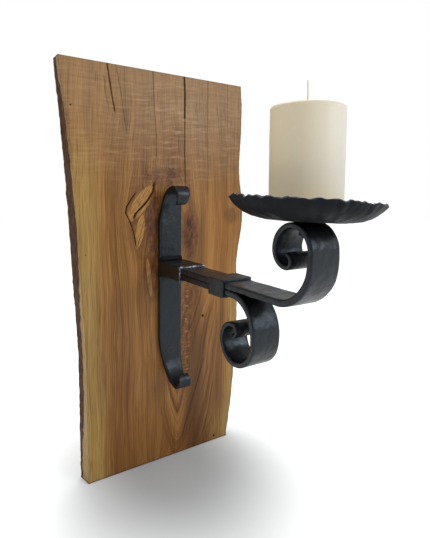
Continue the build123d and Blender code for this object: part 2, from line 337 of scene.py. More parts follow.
def crack_depth(down, x):
    """How deep the cracks and holes are at a place on the face, in millimetres."""
    deepest = 0.0
    for line, width, start, end, deep in (
        (LONG_CRACK, 1.5, -10, 64, 3.0), (LONG_CRACK, 1.0, 60, 160, 1.2),
        (LEFT_CRACK, 1.1, -10, 66, 1.5), (KNOT_LEFT, 1.4, 168, 252, 1.8),
        (KNOT_CRACK, 2.2, 154, 212, 3.2),
    ):
        if start < down < end:
            off = abs(x - along(line, down)) / width
            fade = ease(down, start, start + 8) * (1 - ease(down, end - 8, end))
            deepest = max(deepest, deep * fade * max(0.0, 1 - off * off))
    for hole_down, hole_x, radius in PIN_HOLES:
        off = math.hypot(down - hole_down, x - hole_x) / radius
        deepest = max(deepest, 2.5 * max(0.0, 1 - off * off))
    return deepest


def knot_swell(down, x):
    """The face stands a little proud round the knot, in millimetres."""
    off = math.hypot((x + 45) / 34, (down - 205) / 62)
    return 0.9 * math.exp(-off * off * 1.6)


def make_board(sizes):
    """A grid over the face, drawn back through the board's thickness, with worn and barky edges."""
    face = BoardFace()
    top = BOARD_HIGH.z
    columns, rows, rings = 150, 240, 9
    bm = bmesh.new()
    bmesh.ops.create_grid(bm, x_segments=columns, y_segments=rows, size=1.0)
    height = BOARD_HIGH.z - BOARD_LOW.z
    for v in bm.verts:
        z = BOARD_LOW.z + height * (v.co.y + 1) / 2
        left, right = face.span(z)
        share = (v.co.x + 1) / 2
        v.co = (left + (right - left) * share, BOARD_LOW.y, z)
    bm.verts.ensure_lookup_table()

    def near_figure(f):
        """Whether a face is on the knot or along a crack, where the mesh is finer."""
        c = f.calc_center_median()
        down, x = (top - c.z) / MM, c.x / MM
        knot = -74 < x < -12 and 146 < down < 262
        long_crack = down < 164 and abs(x - along(LONG_CRACK, down)) < 3.5
        left_crack = down < 68 and abs(x - along(LEFT_CRACK, down)) < 3.5
        return knot or long_crack or left_crack

    fine = {e for f in bm.faces if near_figure(f) for e in f.edges}
    bmesh.ops.subdivide_edges(bm, edges=list(fine), cuts=2, use_grid_fill=True)

    rim = [e for e in bm.edges if e.is_boundary]
    front_rim = list(rim)
    side = bm.verts.layers.float.new("side")
    sawn = bm.verts.layers.float.new("sawn")
    thickness = BOARD_HIGH.y - BOARD_LOW.y
    flare_left, flare_right = 5 * MM, 3 * MM
    for _ in range(rings):
        verts, rim = grow(bm, rim)
        bmesh.ops.translate(bm, verts=verts, vec=(0, thickness / rings, 0))
        for v in verts:
            left, right = face.span(v.co.z)
            share = min(max((v.co.x - left) / (right - left), 0.0), 1.0)
            v.co.x += (flare_right * share - (flare_left - face.lead(v.co.z)) * (1 - share)) / rings
    back = bmesh.ops.edgeloop_fill(bm, edges=rim)["faces"]
    bmesh.ops.inset_region(bm, faces=back, thickness=1.2 * MM, use_even_offset=True)
    plain = {v for f in back for v in f.verts}
    bevel(bm, front_rim, 0.9 * MM, 2)
    for v in bm.verts:
        if v in plain:
            continue
        x, y, z = v.co / MM
        down = top / MM - z
        into = y - BOARD_LOW.y / MM
        at_end = down < 0.05 or down > height / MM - 0.05
        left, right = (edge / MM for edge in face.span(v.co.z))
        if into < 0.05:
            wave = 0.22 * ripple((x, 0, z), 38) + 0.06 * ripple((x, 0, z * 2.5), 7, 3.0)
            lift = knot_swell(down, x) - crack_depth(down, x) + 4 * sizes.face_wave * wave
            v.co.y -= (lift - 1.0) * MM * (0.0 if at_end else 1.0)
        at_side = min(x - left, right - x)
        v[side] = 1.0 - ease(at_side, -0.4, 1.3) if into > 0.05 else 0.0
        v[sawn] = 1.0 if at_end and into > 0.3 else 0.0
        if at_side < 1.3 and not at_end:
            outward = -1 if x - left < right - x else 1
            bark = 0.9 * ripple((0, y * 1.3, z), 17, 5.0 * outward)
            bark += 0.5 * ripple((0, y * 2.0, z), 6, 9.0)
            groove = 0.45 * abs(ripple((0, y * 3.0, z * 0.25), 2.6, 2.0))
            v.co.x += outward * sizes.bark_depth * (bark - 0.35 - groove * ease(into, 0.5, 3)) / 0.9
        v.co.x = min(max(v.co.x, BOARD_LOW.x), BOARD_HIGH.x)
        v.co.y = min(max(v.co.y, BOARD_LOW.y), BOARD_HIGH.y)
    return piece(bm, "live_edge_board", board_finish(), BODY, ["board"], angle=40)


OIL = (0.71, 0.62, 0.42)


def board_finish():
    """Oiled elm: grain that flows round the knots, pale sapwood, dark cracks, bark on the sides."""
    f = Finish("oiled_elm")

    def oiled(*shade):
        """Every colour of the wood, warmed and darkened by the oil."""
        return tuple(c * oil for c, oil in zip(colour(*shade), OIL))

    x, y, z = f.place()
    down = BOARD_HIGH.z / MM - z

    # grain lines bend round the knot on the left and the one behind the iron
    def flow(centre_x, centre_down, width, squash):
        dx, dz = x - centre_x, (down - centre_down) * squash
        return dx * (width ** 2 / (dx * dx + dz * dz + width ** 2 * 0.35)).math("MINIMUM", 1.0)

    drift = f.cloud(f.point(x / 60, y / 60, down / 170), 1.0, 2.0) - 0.5
    across = x - flow(-46, 205, 15, 0.42) - flow(12, 205, 20, 0.5) + drift * 20
    whorl = (1 - (((x + 6) / 36) ** 2.0 + ((down - 148) / 15) ** 2.0).step(0.2, 1.3))
    curl = f.cloud(f.point(x / 14, 0.0, down / 9), 1.0, 2.0) - 0.5
    across = across + curl * whorl * 24

    wide = f.cloud(f.point(across, y, down * 0.03), 1 / 26, 2.0, 0.5)
    middle = f.cloud(f.point(across, y, down * 0.02), 1 / 5.2, 3.0, 0.6)
    fine = f.cloud(f.point(across, y, down * 0.012), 1 / 1.25, 3.0, 0.6)
    pores = f.cloud(f.point(across, y, down * 0.022), 1 / 0.62, 1.0, 0.5)

    # V-shaped figure low on the right
    off = x - 15 + drift * 30
    arm = (off * off + 14).math("SQRT")
    spread = (off / (46 + 44 * off.step(-10, 20))) ** 2.0 * -1.0
    fade = f.math("EXPONENT", spread)
    rings = arm + (down - 512) * fade * 0.34 + drift * 12
    v_grain = f.cloud(f.point(rings, y, down * 0.01), 1 / 5.2, 3.0, 0.55)
    v_mask = down.step(290, 400) * x.step(-22, 6) * (1 - x.step(66, 100))
    tone = (wide - 0.5) * 0.6 + (middle - 0.5) * 0.75 + (fine - 0.5) * 1.15
    v_tone = (v_grain - 0.5) * 2.6 + (fine - 0.5) * 0.9
    tone = tone + (v_tone - tone) * v_mask * 0.85
    body = f.ramp(tone + 0.5, [
        (0.08, oiled(88, 54, 28)), (0.36, oiled(134, 95, 56)), (0.55, oiled(157, 116, 72)),
        (0.85, oiled(186, 146, 98)),
    ])

    # painted sheen: paler and greyer towards the top; redder and darker at the foot, the wood's own tone
    # with painted shade in it
    body = f.mix((1 - down.step(10, 190)) * 0.45, body, oiled(170, 148, 128))
    body = f.mix(down.step(330, 570) * 0.4, body, oiled(126, 86, 50))
    gold = x.step(52, 74) * down.step(110, 200) * (1 - down.step(300, 370))
    body = f.mix(gold * 0.35, body, oiled(178, 126, 66))
    dusk = x.hump(44, 30) * down.step(180, 230) * 0.50
    dusk = dusk + x.step(14, 40) * (1 - x.step(90, 112)) * down.step(320, 400) * 0.34
    body = f.mix(dusk, body, oiled(92, 60, 32))
    stripe = x.hump(73, 9) * down.step(90, 180) * (1 - down.step(280, 340))
    body = f.mix(stripe * 0.5, body, oiled(192, 148, 96))

    # sapwood down the left side and at the right edge
    wander = (f.cloud(f.point(0.0, 0.0, down), 1 / 50, 1.0) - 0.5) * 10
    sap = (1 - (x + wander - down.step(300, 520) * 8).step(-116, -95)) * down.step(60, 190)
    sap_shade = f.ramp(fine * 0.7 + middle * 0.5 - 0.1, [
        (0.30, oiled(146, 118, 74)), (0.50, oiled(182, 156, 106)), (0.72, oiled(206, 182, 132)),
    ])
    body = f.mix(sap * 0.86, body, sap_shade)
    sap_right = (x + wander + down.step(180, 560) * 14).step(104, 128) * down.step(230, 330)
    body = f.mix(sap_right * 0.7, body, sap_shade)
    foot_right = x.step(62, 100) * down.step(490, 560)
    body = f.mix(foot_right * 0.55, body, sap_shade)

    # dark figure round the knots
    def patch(centre_x, centre_down, half_width, half_height):
        r = ((x - centre_x) / half_width) ** 2.0 + ((down - centre_down) / half_height) ** 2.0
        return 1 - (r + curl * 1.3).step(0.1, 1.54)

    smoky = f.ramp(f.cloud(f.point(across, y, down * 0.4), 1 / 5.0, 3.0, 0.6), [
        (0.32, oiled(62, 36, 24)), (0.54, oiled(112, 70, 46)), (0.74, oiled(158, 110, 74)),
    ])
    for spot, share in (
        (patch(37, 228, 14, 44), 0.95), (patch(-46, 205, 25, 54), 0.35), (patch(-23, 214, 14, 46), 1.0),
        (patch(14, 112, 13, 50), 0.5), (patch(-4, 146, 34, 15), 0.65), (patch(112, 206, 15, 14), 0.5),
        (patch(30, 395, 11, 75), 0.6), (patch(-26, 285, 15, 42), 0.75), (patch(38, 326, 14, 20), 0.45),
    ):
        body = f.mix(spot * share, body, smoky)
    eye = (((x - 38) / 1.0) ** 2.0 + ((down - 325) / 2.2) ** 2.0).math("SQRT")
    ring = (eye * 0.85 + curl * 3).math("SINE") * 0.5 + 0.5
    body = f.mix(ring * (1 - eye.step(7, 13)) * 0.6, body, oiled(84, 50, 28))

    # the knot's plugs of yellow wood
    def blade(ax, ad, bx, bd, half):
        length = math.hypot(bx - ax, bd - ad)
        ux, ud = (bx - ax) / length, (bd - ad) / length
        right, below = x - (ax + bx) / 2, down - (ad + bd) / 2
        lengthwise = (right * ux + below * ud) / (length / 2)
        sideways = (right * ud - below * ux) / half
        return 1 - (lengthwise * lengthwise + sideways * sideways).step(0.75, 1.0)

    plug_grain = f.cloud(f.point((x + down * 0.7) / 1.6, 0.0, (down - x) / 22), 1.0, 2.0)
    plug = f.ramp(plug_grain, [
        (0.30, oiled(140, 98, 52)), (0.52, oiled(190, 148, 92)), (0.72, oiled(222, 182, 126)),
    ])
    for ends_and_half, share in (
        ((-24, 160, -63, 212, 11), 0.8), ((-40, 200, -50, 252, 6.5), 0.85),
        ((-34, 262, -27, 324, 3.4), 0.7),
    ):
        body = f.mix(blade(*ends_and_half) * share, body, plug)

    # fiddleback ripple across the grain; near the top its pale streaks are painted sheen off the wavy face
    sweep = f.cloud(f.point(x / 30, y / 40, (down + x * 0.05 + drift * 14) / 3.3), 1.0, 3.0, 0.6)
    patchy = f.cloud(f.point(x / 42, 0.0, down / 26), 1.0, 2.0).step(0.34, 0.64)
    upper = down.step(-20, 34) * (1 - down.step(110, 185)) * (0.30 + 0.40 * x.hump(0, 80) + 0.45 * patchy)
    strip = x.hump(30, 12) * down.step(290, 320) * (1 - down.step(455, 500))
    ticks = f.cloud(f.point(x / 9, 0.0, down / 2.2), 1.0, 1.0)
    body = f.mix(upper * sweep.step(0.46, 0.74) * 0.42, body, oiled(206, 184, 166))
    body = f.mix(upper * (1 - sweep.step(0.28, 0.52)) * 0.40, body, oiled(112, 80, 60))
    body = f.mix(strip * ticks.step(0.52, 0.66) * 0.5, body, oiled(190, 156, 112))

    # pores, and cracks and pin holes painted near-black as painted shade inside them
    body = f.mix(pores.step(0.57, 0.72) * 0.42, body, oiled(78, 48, 26))
    gap = 0.0
    for line, width, start, end, strength in CRACKS:
        centre = f.level(down / 600, [(d / 600, where + 200) for d, where in line], 400) - 200
        ragged = (fine - 0.5) * 1.1
        inside = 1 - (abs(x - centre + ragged) / width).step(0.35, 1.0)
        inside = inside * down.step(start, start + 6) * (1 - down.step(end - 8, end)) * strength
        gap = inside.math("MAXIMUM", gap)
    for hole_down, hole_x, radius in PIN_HOLES:
        dx, dz = x - hole_x, down - hole_down
        gap = (1 - ((dx * dx + dz * dz) / radius ** 2).step(0.4, 1.0)).math("MAXIMUM", gap)
    on_face = 1 - (y - BOARD_LOW.y / MM).step(3.0, 5.0)
    gap = gap * on_face
    # painted shade: the cracks and pin holes made near-black
    body = f.mix(gap, body, oiled(38, 22, 14))

    # painted contact shadow: a dark line along the foot of the face, where the board stands on the floor
    body = f.mix(down.step(568.2, 569.6) * 0.65, body, oiled(52, 34, 22))

    # sawn ends and barky sides
    end_grain = f.cloud(f.point(x / 2.2, y / 2.2, 0.0), 1.0, 3.0, 0.7)
    year = ((x * 0.16 + y * 0.75 + f.cloud(f.point(x, y, z), 1 / 40) * 9).math("SINE") * 0.5 + 0.5)
    end_shade = f.ramp(end_grain * 0.6 + year * 0.4, [
        (0.25, oiled(74, 46, 27)), (0.55, oiled(118, 82, 50)), (0.85, oiled(150, 112, 72)),
    ])
    body = f.mix(f.mark("sawn"), body, end_shade)
    bark_lumps = f.cloud(f.point(x / 3, y / 2.4, z / 13), 1.0, 4.0, 0.65, 0.6)
    bark = f.ramp(bark_lumps, [
        (0.30, oiled(40, 26, 17)), (0.50, oiled(82, 56, 38)), (0.66, oiled(112, 80, 55)),
        (0.85, oiled(148, 116, 84)),
    ])
    worn = f.level(down / 600, [
        (0, 0.45), (0.17, 0.27), (0.34, 0.06), (0.47, 0.12), (0.5, 0.28), (0.6, 0.42), (0.8, 0.48),
        (0.9, 0.75),
    ], 1.0)
    into = (y - BOARD_LOW.y / MM) / ((BOARD_HIGH.y - BOARD_LOW.y) / MM)
    ragged = f.cloud(f.point(x / 9, y / 4, z / 16), 1.0, 3.0, 0.6)
    side = f.mark("side") * (into - worn + (ragged - 0.5) * 0.35).step(-0.06, 0.10)
    body = f.mix((side * 1.3 + (bark_lumps - 0.5) * 0.3).clip().step(0.3, 0.8), body, bark)

    gloss = 0.40 + (middle - 0.5) * 0.22 + gap * 0.4 + side * 0.28 - sap * 0.03
    relief = f.bump(fine * 0.45 + middle * 0.3 - pores.step(0.6, 0.74) * 0.5, 0.28, 0.55)
    relief = f.bump(sweep * upper + ticks * strip, 0.5, 0.5, relief)
    relief = f.bump(bark_lumps * side + end_grain * f.mark("sawn") * 0.4, 1.4, 0.9, relief)
    return f.shade(
        base_color=body, roughness=gloss.clip(), normal=relief, coat_weight=(1 - side) * 0.05,
        coat_roughness=0.25, specular_ior_level=0.18,
    )


# ---------------------------------------------------------------- forged bars
def walk(start, heading, moves, step):
    """Places (y, z, heading, distance gone) along runs (length,) and bends (radius, degrees)."""
    y, z = start
    gone = 0.0
    places = [(y, z, heading, gone)]
    for move in moves:
        bend = len(move) == 2
        turn = math.radians(move[1]) if bend else 0.0
        length = abs(turn) * move[0] if bend else move[0]
        steps = max(2 if bend else 1, round(length / step))
        for _ in range(steps):
            chord = 2 * move[0] * math.sin(abs(turn) / steps / 2) if bend else length / steps
            middle = heading + turn / steps / 2
            y, z = y + chord * math.cos(middle), z + chord * math.sin(middle)
            heading += turn / steps
            gone += length / steps
            places.append((y, z, heading, gone))
    return places


def backward(places):
    """The same places walked from the far end."""
    total = places[-1][3]
    return [(y, z, heading + math.pi, total - gone) for y, z, heading, gone in reversed(places)]


def section_matrix(place):
    """Puts a section drawn in X-Y square to a place's heading; its Y is the bar's thickness."""
    y, z, heading, _ = place
    return Matrix.Translation((0, y, z)) @ Matrix.Rotation(heading - math.pi / 2, 4, "X")


def section(bm, width, thickness, corner, cuts):
    """A flat bar's rounded section in the X-Y plane, with its wide sides cut into even parts."""
    made = bmesh.ops.create_grid(bm, x_segments=1, y_segments=1, size=0.5)["verts"]
    bmesh.ops.scale(bm, verts=made, vec=(width, thickness, 1.0))
    bevel(bm, made, corner, 3, "VERTICES")
    bmesh.ops.delete(bm, geom=bm.faces[:], context="FACES_ONLY")
    wide = [e for e in bm.edges if e.calc_length() > thickness]
    narrow = [e for e in bm.edges if corner < e.calc_length() <= thickness]
    bmesh.ops.subdivide_edges(bm, edges=wide, cuts=cuts)
    bmesh.ops.subdivide_edges(bm, edges=narrow, cuts=2)


def forge(places, width, thickness, corner, shape, mate=0, mate_reach=0.0):
    """Draw a flat bar along places.

    shape(distance, total, across, through) gives the hammered section's own across and through.
    mate is the side, 1 or -1, that lies on another bar as far as mate_reach, where nothing wears it.
    """
    bm = bmesh.new()
    section(bm, width, thickness, corner, cuts=11)
    wear = bm.verts.layers.float.new("wear")
    ring, edges = list(bm.verts), list(bm.edges)
    start = list(edges)
    bmesh.ops.transform(bm, matrix=section_matrix(places[0]), verts=ring)
    rings = [(places[0], ring)]
    for before, after in zip(places, places[1:]):
        ring, edges = grow(bm, edges)
        move = section_matrix(after) @ section_matrix(before).inverted()
        bmesh.ops.transform(bm, matrix=move, verts=ring)
        rings.append((after, ring))
    for end in (start, edges):
        bmesh.ops.edgeloop_fill(bm, edges=end)
    total = places[-1][3]
    for place, ring in rings:
        matrix = section_matrix(place)
        back = matrix.inverted()
        for v in ring:
            local = back @ v.co
            across, through = shape(place[3], total, local.x, local.y)
            edge_near = 1 - ease(width / 2 - abs(local.x), 0.0, 2.2 * MM)
            v[wear] = edge_near * ease(abs(local.y), thickness * 0.2, thickness * 0.5)
            if local.y * mate > 0 and place[3] < mate_reach:
                v[wear] = 0.0
                through += mate * 0.25 * MM
            v.co = matrix @ Vector((across, through, 0.0))
    return bm


def hammered(seed, marks, edge_marks, thin, taper=None):
    """The hammering of one bar: shallow facets on the flats and a wavy edge."""
    tip, narrower = 5 * MM, 0.16

    def shape(gone, total, across, through):
        wide = taper(gone, total) if taper else 1.0
        first = narrower * (1 - ease(gone, 0, tip)) if taper else 0.0
        wide *= 1.0 - narrower * (1 - ease(total - gone, 0, tip)) - first
        thick = thin(gone, total)
        side = 1 if through > 0 else -1
        lump = ripple((across, side * 0.05, gone), 14 * MM, seed) * 0.7
        lump += ripple((across, side * 0.05, gone), 7 * MM, seed + 4) * 0.3
        edge = ripple((math.copysign(0.03, across), 0, gone), 11 * MM, seed + 8)
        across = across * wide + math.copysign(edge_marks * (edge - 0.5), across)
        return across, through * thick + side * marks * (lump - 0.30)

    return shape


def iron_finish(name, shine, dull):
    """Satin black paint over hammered iron, a little bluish, worn thin along the edges."""
    f = Finish(name)
    spot = f.spot()
    cloudy = f.cloud(spot, 1 / 24, 3.0, 0.55)
    grain = f.cloud(spot, 1 / 1.6, 3.0, 0.6)
    facets = f.cloud(spot, 1 / 9.0, 1.0, 0.4)
    scale = f.cloud(spot, 1 / 5.0, 4.0, 0.65, 0.4)
    paint = f.ramp(cloudy * 0.7 + grain * 0.3, [
        (0.30, colour(4, 5, 6)), (0.55, colour(8, 9, 11)), (0.75, colour(17, 19, 23)),
    ])
    wear = f.mark("wear")
    paint = f.mix((wear * (scale - 0.25)).clip() * 0.9, paint, colour(40, 44, 50))
    paint = f.mix(scale.step(0.60, 0.75) * 0.22, paint, colour(36, 34, 33))
    # painted glint: a bright steel colour on marked edges, partly bare metal where the paint is worn
    # through and partly a painted highlight
    bare = f.mark("bare")
    paint = f.mix((bare * scale.step(0.42, 0.64)).clip(), paint, colour(186, 196, 206))
    rough = dull + (cloudy - 0.5) * 0.34 + (grain - 0.5) * 0.14 - wear * 0.05
    relief = f.bump(facets, 1.6, 0.6)
    relief = f.bump(scale * 0.6 + grain * 0.4, 0.18, 0.5, relief)
    return f.shade(
        base_color=paint, roughness=rough.clip(), metallic=wear * 0.2, normal=relief,
        specular_ior_level=shine, specular_tint=(0.80, 0.90, 1.0),
    )


def scale_finish():
    """Dull black scale over the welds."""
    f = Finish("black_scale")
    grain = f.cloud(f.spot(), 1 / 1.3, 3.0, 0.6)
    base = f.mix(grain, colour(6, 7, 8), colour(24, 26, 29))
    return f.shade(
        base_color=base, roughness=0.68 + grain * 0.2, normal=f.bump(grain, 0.3, 0.6),
        specular_ior_level=0.2,
    )


IRON = []


def iron():
    """The one iron finish that the bars share."""
    if not IRON:
        IRON.append(iron_finish("black_iron", 0.38, 0.39))
    return IRON[0]


def lathe(profile, steps):
    """Turn a closed or open profile of (radius, height) about the upright axis."""
    bm = bmesh.new()
    verts = [bm.verts.new((r, 0.0, h)) for r, h in profile]
    edges = [bm.edges.new(pair) for pair in zip(verts, verts[1:])]
    bmesh.ops.spin(
        bm, geom=verts + edges, cent=(0, 0, 0), axis=(0, 0, 1), dvec=(0, 0, 0), angle=math.tau,
        steps=steps, use_merge=True, use_duplicate=False,
    )
    bmesh.ops.remove_doubles(bm, verts=bm.verts, dist=1e-6)
    return bm


# ---------------------------------------------------------------- settings
def length(name, description, millimetres):
    """A length that the panel shows."""
    return FloatProperty(name=name, description=description, default=millimetres * MM, unit="LENGTH")


class BoardSettings(PropertyGroup):
    face_wave: length("Face wave", "How much the planed face rolls", 0.25)
    bark_depth: length("Bark depth", "How rough the natural edges are", 0.9)


class IronSettings(PropertyGroup):
    width: length("Bar width", "Width of the flat bar", (ARM_HIGH.x - ARM_LOW.x) / MM)
    arm_thickness: length("Arm thickness", "Thickness of both arms", 7.5)
    plate_thickness: length("Plate thickness", "Thickness of the wall plate", 8)
    end_drift: length("End drift", "How far the plate's drawn ends lean to the right", 3.2)
    hammer_depth: length("Hammer depth", "Depth of the hammer marks", 0.42)
    edge_depth: length("Edge depth", "How wavy the bar's edges are", 0.5)


class PanSettings(PropertyGroup):
    rim_wave: length("Rim wave", "How uneven the rim is", 1.5)
    rim_lift: length("Rim lift", "How much the rim is turned up", 2.6)
    rim_tilt: length("Rim tilt", "How much lower the rim is at the right", 4.0)


class CandleSettings(PropertyGroup):
    wax: FloatVectorProperty(
        name="Wax", description="Colour of the candle", subtype="COLOR", default=colour(209, 205, 194),
    )
    wick_lean: length("Wick lean", "How far the wick's tip leans", 0.7)


class StageSettings(PropertyGroup):
    lens: FloatProperty(
        name="Lens", description="Focal length of the camera", default=28.495, unit="CAMERA",
    )
    fill: FloatProperty(
        name="Fill", description="Strength of the light from all round", default=0.62,
    )


# ---------------------------------------------------------------- operators
class SCONCE_OT_board(Operator):
    """Build the live-edge board"""

    bl_idname = "sconce.board"
    bl_label = "Board"

    def execute(self, context):
        make_board(context.scene.sconce_board)
        return {"FINISHED"}


class SCONCE_OT_wall_plate(Operator):
    """Forge the wall plate with its rolled and drawn-out ends"""

    bl_idname = "sconce.wall_plate"
    bl_label = "Wall plate"

    def execute(self, context):
        s = context.scene.sconce_iron
        middle = PLATE_FRONT + s.plate_thickness / 2
        high, low = ARM_TOP + 82 * MM, ARM_TOP - 139 * MM
        start, step = (low + high) / 2, 2.6 * MM
        top_bend, top_turn, foot_bend, foot_turn = 24 * MM, 90, 37 * MM, 80
        up = walk((middle, start), math.pi / 2, [
            (high - start,), (top_bend, top_turn), (11 * MM, 165),
        ], step)
        down = walk((middle, start), -math.pi / 2, [
            (start - low,), (foot_bend, -foot_turn), (8.5 * MM, -172),
        ], step)
        reach = down[-1][3]
        places = backward(down)[:-1] + [(y, z, heading, gone + reach) for y, z, heading, gone in up]
        straight_low, straight_high = reach - (start - low), reach + (high - start)
        curl_low = straight_low - foot_bend * math.radians(foot_turn)
        curl_high = straight_high + top_bend * math.radians(top_turn)
        total = places[-1][3]

        def taper(gone, _):
            drawn = (
                ease(gone, straight_high - 30 * MM, curl_high) + 1
                - ease(gone, curl_low, straight_low + 30 * MM)
            )
            tip = ease(gone, curl_high, total) + 1 - ease(gone, 0, curl_low)
            return 1.0 - 0.34 * drawn - 0.20 * tip

        def thin(gone, _):
            end = min(gone, total - gone)
            return 0.42 + 0.58 * ease(end, 0, 40 * MM)

        bm = forge(places, s.width, s.plate_thickness, 2.4 * MM,
                   hammered(2.0, s.hammer_depth * 0.8, s.edge_depth, thin, taper))
        for v in bm.verts:
            at_top = ease(v.co.z, high - 26 * MM, high + 12 * MM)
            v.co.x += s.end_drift * (at_top + 1 - ease(v.co.z, low - 16 * MM, low + 24 * MM))
        piece(bm, "forged_wall_plate", iron(), BODY, ["wall_plate"])
        return {"FINISHED"}


class SCONCE_OT_arms(Operator):
    """Forge the two arms with their scrolls"""

    bl_idname = "sconce.arms"
    bl_label = "Arms"

    def execute(self, context):
        s = context.scene.sconce_iron
        half = s.arm_thickness / 2

        def outer(radius):
            return radius * MM - half

        def thin(gone, total):
            left = total - gone
            return 0.5 + 0.25 * ease(left, 0, 42 * MM) + 0.25 * ease(left, 60 * MM, 190 * MM)

        upper = [
            (252 * MM,), (outer(46), -90), (8.5 * MM,), (outer(27), -180), (outer(20), -90),
            (outer(10), -215),
        ]
        lower = [
            (178 * MM,), (outer(42), 90), (4.5 * MM,), (outer(36.5), 90), (outer(27.5), 90),
            (outer(22.5), 90), (3 * MM,), (outer(10), 215),
        ]
        for name, node, height, moves, seed, mate in (
            ("forged_upper_arm", "upper_arm", ARM_TOP - half, upper, 11.0, -1),
            ("forged_lower_arm", "lower_arm", ARM_TOP - 3 * half, lower, 17.0, 1),
        ):
            places = walk((PLATE_FRONT, height), math.pi, moves, 2.4 * MM)
            bm = forge(places, s.width, s.arm_thickness, 1.7 * MM,
                       hammered(seed, s.hammer_depth, s.edge_depth, thin), mate, mate_reach=176 * MM)
            piece(bm, name, iron(), BODY, [node])
        return {"FINISHED"}


class SCONCE_OT_straps(Operator):
    """Shape the root sleeve and the front collar as hammered boxes round the arms, and lay the weld beads
    """

    bl_idname = "sconce.straps"
    bl_label = "Sleeve, collar and welds"

    def execute(self, context):
        s = context.scene.sconce_iron
        for name, node, (low, high), seed, cells in (
            ("root_sleeve_folded", "root_sleeve", (SLEEVE_LOW, SLEEVE_HIGH), 23.0, 26),
            ("front_collar_folded", "front_collar", (COLLAR_LOW, COLLAR_HIGH), 31.0, 13),
        ):
            bm = bmesh.new()
            bmesh.ops.create_cube(bm, size=1.0)
            bmesh.ops.scale(bm, verts=bm.verts, vec=high - low)
            bmesh.ops.translate(bm, verts=bm.verts, vec=(low + high) / 2)
            bevel(bm, bm.edges[:], 1.1 * MM, 2)
            wear = bm.verts.layers.float.new("wear")
            bare = bm.verts.layers.float.new("bare")
            for axis, count in ((1, cells), (0, 16), (2, 8)):
                length = high[axis] - low[axis]
                for i in range(1, count):
                    place = Vector((0, 0, 0))
                    place[axis] = low[axis] + length * i / count
                    normal = Vector((0, 0, 0))
                    normal[axis] = 1
                    geom = bm.verts[:] + bm.edges[:] + bm.faces[:]
                    bmesh.ops.bisect_plane(bm, geom=geom, plane_co=place, plane_no=normal, dist=1e-6)
            centre = (low + high) / 2
            size = (high - low) / 2
            for v in bm.verts:
                rel = v.co - centre
                near = sorted(size[i] - abs(rel[i]) for i in range(3))
                v[wear] = 1 - ease(near[1], 0.0, 2.0 * MM)
                from_front = v.co.y - low.y
                # painted glint: the sleeve's front top edge, and more faintly its front left edge, are
                # marked for the bright colour, partly bare metal
                front_edge = 1 - ease(max(from_front, high.z - v.co.z), 0.7 * MM, 1.9 * MM)
                left_edge = 0.5 * (1 - ease(max(from_front, v.co.x - low.x), 0.7 * MM, 1.6 * MM))
                v[bare] = max(front_edge, left_edge) if node == "root_sleeve" else 0.0
                lump = ripple(v.co, 12 * MM, seed) * 0.65 + ripple(v.co, 6 * MM, seed + 3) * 0.35
                push = s.hammer_depth * 1.2 * (lump - 0.6)
                share = Vector((rel.x / size.x, 0, rel.z / size.z))
                if abs(share.x) > abs(share.z):
                    outward = Vector((math.copysign(1, rel.x), 0, 0))
                else:
                    outward = Vector((0, 0, math.copysign(1, rel.z)))
                v.co += outward * push
                if near[0] < 1.5 * MM and abs(rel.y) > size.y - 1.5 * MM:
                    wave = 0.5 * MM * (ripple(v.co, 9 * MM, seed + 6) - 0.6)
                    v.co.y += wave * math.copysign(1, rel.y)
            piece(bm, name, iron(), BODY, [node], angle=50)

        bm = bmesh.new()
        for z in (WELD_HIGH.z - 2.9 * MM, WELD_LOW.z + 2.9 * MM):
            made = bmesh.ops.create_circle(bm, cap_ends=True, segments=14, radius=2.6 * MM)["verts"]
            bmesh.ops.rotate(bm, verts=made, cent=(0, 0, 0), matrix=Matrix.Rotation(math.pi / 2, 3, "Y"))
            bmesh.ops.translate(bm, verts=made, vec=(WELD_LOW.x, PLATE_FRONT + 0.6 * MM, z))
            edges = list({e for v in made for e in v.link_edges if e.is_boundary})
            count = 46
            stride = (WELD_HIGH.x - WELD_LOW.x) / count
            for i in range(count):
                ring, edges = grow(bm, edges)
                bmesh.ops.translate(bm, verts=ring, vec=(stride, 0, 0))
                middle = sum((v.co for v in ring), Vector()) / len(ring)
                lump = 0.12 * abs(math.sin(i * 0.68))
                bead = 4.2 * MM * (0.86 + lump + 0.14 * ripple((i, 0, z / MM), 3.0, 5.0))
                end = min(i, count - 1 - i) / 3
                bead *= min(1.0, 0.55 + 0.45 * end)
                for v in ring:
                    off = v.co - middle
                    v.co = middle + off.normalized() * bead
            bmesh.ops.holes_fill(bm, edges=edges, sides=0)
        piece(bm, "weld_beads", scale_finish(), BODY, ["root_welds"], angle=60)
        return {"FINISHED"}


